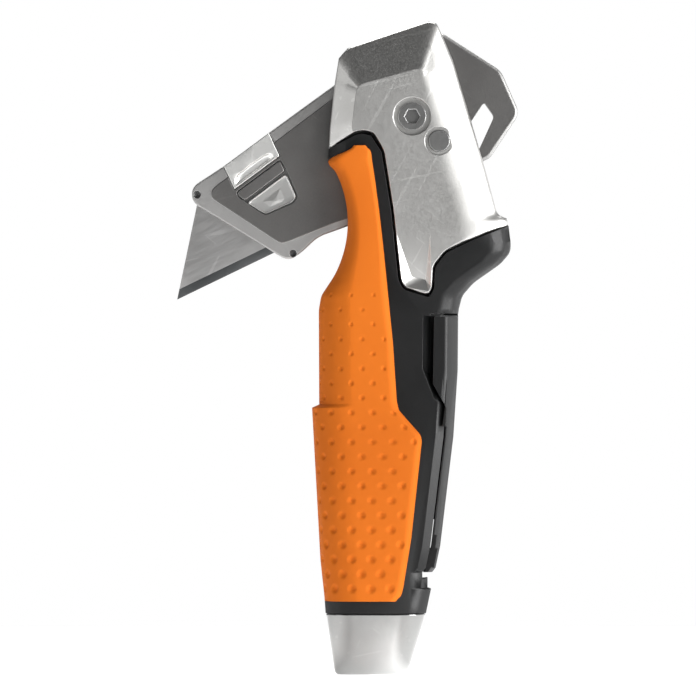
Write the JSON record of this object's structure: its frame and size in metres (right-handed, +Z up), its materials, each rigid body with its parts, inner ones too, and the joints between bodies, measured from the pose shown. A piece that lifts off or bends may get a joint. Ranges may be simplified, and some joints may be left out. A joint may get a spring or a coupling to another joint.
{
  "type": "folding utility knife",
  "caption": "Folding trapezoid-blade knife: metal head with a swinging blade carrier, dimpled rubber grip, storage door at the back and a metal pommel cap.",
  "frame": {"origin": "centre of the pommel cap's flat bottom face", "axes": "+Z up along the handle, +X towards the handle's back, -Y is the side with the pivot bolt's socket and the lock button"},
  "size_m": [0.0852, 0.0244, 0.163],
  "materials": {
    "cast_metal": "brushed, with fine random scratches",
    "cap_metal": "polished, slightly satin",
    "black_plastic": "fine moulded texture",
    "orange_rubber": "soft touch, dimpled",
    "carrier_metal": "dark satin",
    "latch_metal": "satin",
    "pad_metal": "satin",
    "blade_steel": "ground",
    "liner_steel": "satin",
    "fastener_steel": "machined",
    "spring_steel": "drawn wire"
  },
  "bodies": {
    "handle": {"head_plate_front": "cast_metal", "head_plate_rear": "cast_metal", "liner_front": "liner_steel", "liner_rear": "liner_steel", "frame_front": "black_plastic", "frame_rear": "black_plastic", "grip_front": "orange_rubber", "grip_rear": "orange_rubber", "pommel_cap": "cap_metal", "cap_pin": "fastener_steel", "pivot_bolt": "fastener_steel", "pivot_sleeve": "fastener_steel", "pivot_washer_front": "fastener_steel", "pivot_washer_rear": "fastener_steel", "lock_cap": "fastener_steel", "lock_spring": "spring_steel", "door_pin": "fastener_steel", "heel_screw": "fastener_steel", "lower_screw": "fastener_steel"},
    "carrier": {"carrier_front": "carrier_metal", "carrier_rear": "carrier_metal", "blade": "blade_steel", "nose_rivet": "fastener_steel", "lower_rivet": "fastener_steel", "release_plate": "latch_metal", "release_spring": "spring_steel"},
    "lock": {"lock_button": "fastener_steel"},
    "release": {"release_button": "pad_metal"},
    "door": {"storage_door": "black_plastic", "spare_blade_1": "blade_steel", "spare_blade_2": "blade_steel", "spare_blade_3": "blade_steel", "spare_blade_4": "blade_steel"}
  },
  "joints": [
    {"name": "blade_fold", "type": "hinge", "parent": "handle", "child": "carrier", "pos_m": [0.01, 0, 0.13925], "axis": [0, -1, 0], "range_deg": [-112, 51]},
    {"name": "lock_press", "type": "slide", "parent": "handle", "child": "lock", "axis": [0, 1, 0], "range_m": [0, 0.001], "stiffness_N_per_m": 400, "springref_m": -0.003, "deforming": ["lock_spring"]},
    {"name": "storage_door_swing", "type": "hinge", "parent": "handle", "child": "door", "pos_m": [0.0126, 0, 0.0286], "axis": [0, 1, 0], "range_deg": [0, 38]},
    {"name": "release_press", "type": "slide", "parent": "carrier", "child": "release", "axis": [0, 1, 0], "range_m": [0, 0.0008], "stiffness_N_per_m": 500, "springref_m": -0.002, "deforming": ["release_spring"]}
  ]
}
